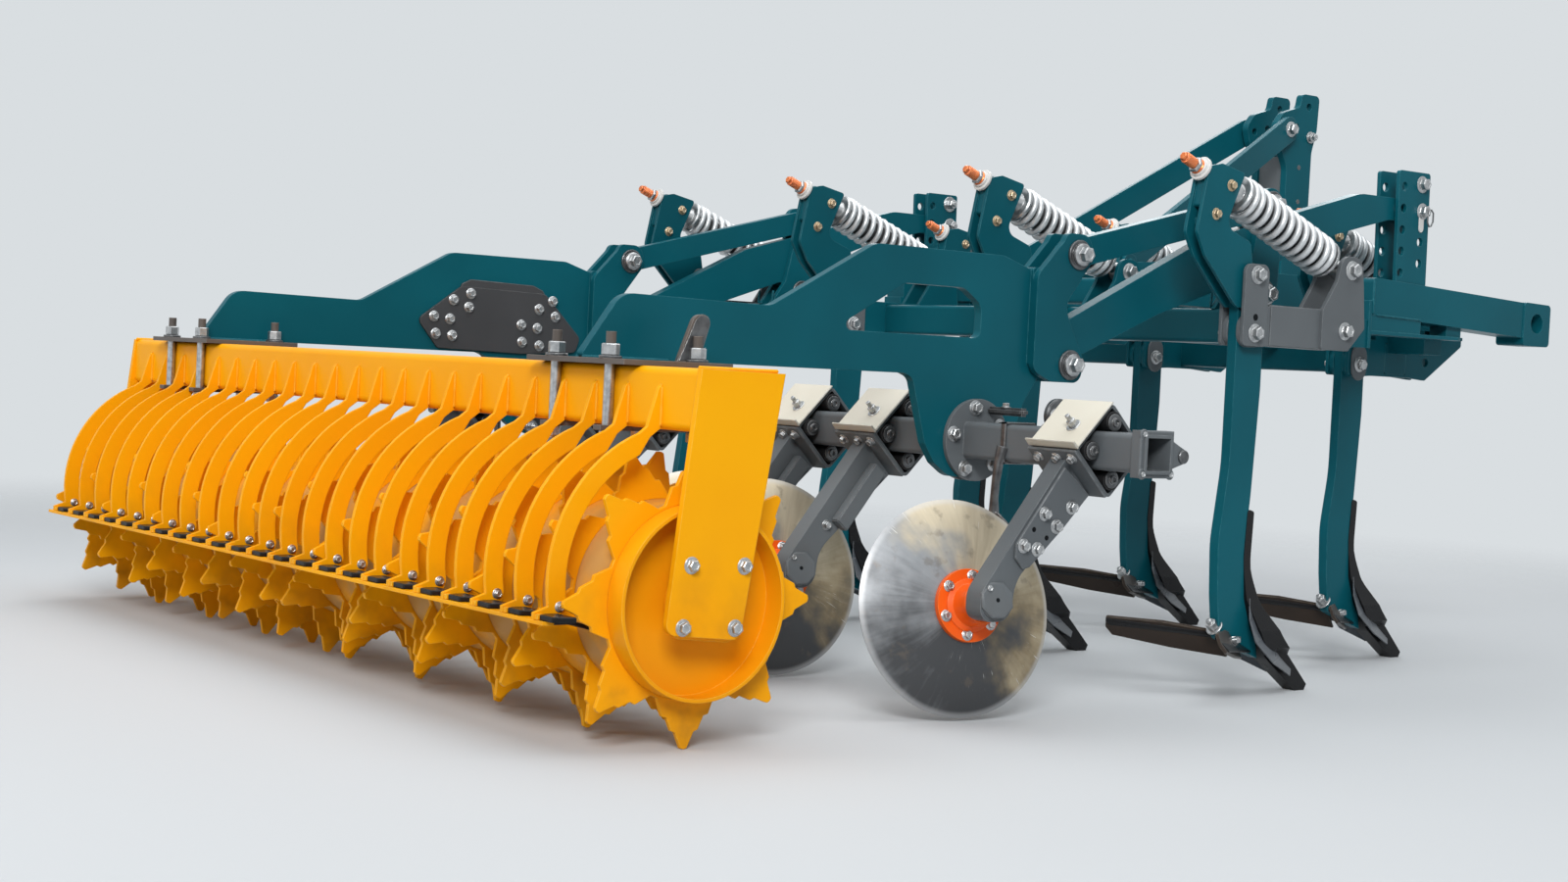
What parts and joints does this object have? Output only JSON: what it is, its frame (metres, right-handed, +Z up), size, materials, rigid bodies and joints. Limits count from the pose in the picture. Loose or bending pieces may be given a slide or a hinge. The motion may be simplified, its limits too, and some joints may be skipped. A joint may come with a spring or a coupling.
{
  "type": "stubble cultivator",
  "caption": "Mounted stubble cultivator with spring-trip tines, levelling discs on rubber-sprung arms and a toothed packer roller with curved scrapers.",
  "frame": {"origin": "on the ground under the middle of the machine, half way along its length and on its centre plane", "axes": "+X along the direction of travel towards the tractor, +Y to the left, +Z up"},
  "size_m": [3.923, 3.36, 1.817],
  "materials": {
    "teal_paint": "gloss powder coat",
    "yellow_paint": "gloss powder coat, worn on the teeth",
    "grey_paint": "satin powder coat",
    "brown_paint": "satin",
    "orange_paint": "gloss",
    "black_steel": "satin black",
    "worn_steel": "dark, worn",
    "galvanised_steel": "galvanised",
    "disc_steel": "bare steel with radial scratches",
    "black_rubber": "matt"
  },
  "bodies": {
    "frame": {"depth_plates": "teal_paint", "front_beam": "teal_paint", "headstock_beam": "teal_paint", "hitch_beam_left": "teal_paint", "hitch_beam_right": "teal_paint", "inner_rails": "teal_paint", "link_brackets": "teal_paint", "mast_plates": "teal_paint", "mast_spacer": "grey_paint", "mast_stays": "teal_paint", "mid_beam": "teal_paint", "rear_beam": "teal_paint", "shares_front": "worn_steel", "shares_rear": "worn_steel", "side_beams": "teal_paint", "side_rails": "teal_paint", "spring_rods_front": "galvanised_steel", "spring_rods_rear": "galvanised_steel", "springs_front": "galvanised_steel", "springs_rear": "galvanised_steel", "stay_feet": "teal_paint", "tine_holders_front": "teal_paint", "tine_holders_inner": "teal_paint", "tine_holders_outer": "grey_paint", "tine_straps_front": "teal_paint", "tine_straps_rear": "teal_paint", "tines_front": "teal_paint", "tines_rear": "teal_paint"},
    "depth_levers": {"depth_levers": "teal_paint"},
    "upper_links": {"upper_links": "teal_paint"},
    "rear_section": {"adjusting_plate": "grey_paint", "arm_left": "teal_paint", "arm_right": "teal_paint", "disc_arms": "grey_paint", "disc_holders": "grey_paint", "disc_tube_left": "grey_paint", "disc_tube_middle": "grey_paint", "disc_tube_right": "grey_paint", "roller_beam": "yellow_paint", "roller_clamps": "brown_paint", "rubber_rollers": "black_rubber", "scraper_arms": "yellow_paint", "scraper_blades": "black_steel", "scraper_rail": "black_steel", "side_plates": "yellow_paint"},
    "roller": {"roller_drum": "yellow_paint", "roller_rings": "yellow_paint"},
    "disc_left_1": {"disc_left_1": "disc_steel", "disc_hub_left_1": "orange_paint"},
    "disc_left_2": {"disc_left_2": "disc_steel", "disc_hub_left_2": "orange_paint"},
    "disc_left_3": {"disc_left_3": "disc_steel", "disc_hub_left_3": "orange_paint"},
    "disc_right_1": {"disc_right_1": "disc_steel", "disc_hub_right_1": "orange_paint"},
    "disc_right_2": {"disc_right_2": "disc_steel", "disc_hub_right_2": "orange_paint"},
    "disc_right_3": {"disc_right_3": "disc_steel", "disc_hub_right_3": "orange_paint"}
  },
  "joints": [
    {"name": "depth_lever_hinge", "type": "hinge", "parent": "frame", "child": "depth_levers", "pos_m": [0.4875, 0, 1.062], "axis": [0, 1, 0], "range_deg": [0, 12]},
    {"name": "upper_link_hinge", "type": "hinge", "parent": "frame", "child": "upper_links", "pos_m": [0.5015, 0, 1.306], "axis": [0, 1, 0], "range_deg": [-1, 13.5]},
    {"name": "rear_section_hinge", "type": "hinge", "parent": "depth_levers", "child": "rear_section", "pos_m": [-0.2325, 0, 0.839], "axis": [0, 1, 0], "range_deg": [-11.9, 1]},
    {"name": "roller_spin", "type": "hinge", "parent": "rear_section", "child": "roller", "pos_m": [-1.6255, 0, 0.306], "axis": [0, 1, 0], "continuous": true},
    {"name": "disc_left_1_spin", "type": "hinge", "parent": "rear_section", "child": "disc_left_1", "pos_m": [-0.7915, 0.31, 0.26824], "axis": [-0.1699, 0.9633, 0.2079], "continuous": true},
    {"name": "disc_left_2_spin", "type": "hinge", "parent": "rear_section", "child": "disc_left_2", "pos_m": [-0.7915, 0.63, 0.26824], "axis": [-0.1699, 0.9633, 0.2079], "continuous": true},
    {"name": "disc_left_3_spin", "type": "hinge", "parent": "rear_section", "child": "disc_left_3", "pos_m": [-0.7915, 1.36, 0.26824], "axis": [-0.1699, 0.9633, 0.2079], "continuous": true},
    {"name": "disc_right_1_spin", "type": "hinge", "parent": "rear_section", "child": "disc_right_1", "pos_m": [-0.7915, -0.31, 0.26824], "axis": [0.1699, 0.9633, -0.2079], "continuous": true},
    {"name": "disc_right_2_spin", "type": "hinge", "parent": "rear_section", "child": "disc_right_2", "pos_m": [-0.7915, -0.63, 0.26824], "axis": [0.1699, 0.9633, -0.2079], "continuous": true},
    {"name": "disc_right_3_spin", "type": "hinge", "parent": "rear_section", "child": "disc_right_3", "pos_m": [-0.7915, -1.36, 0.26824], "axis": [0.1699, 0.9633, -0.2079], "continuous": true}
  ],
  "couplings": [
    {"joint": "upper_link_hinge", "follows": "depth_lever_hinge", "ratio": 1.0012},
    {"joint": "rear_section_hinge", "follows": "depth_lever_hinge", "ratio": -0.8691}
  ]
}
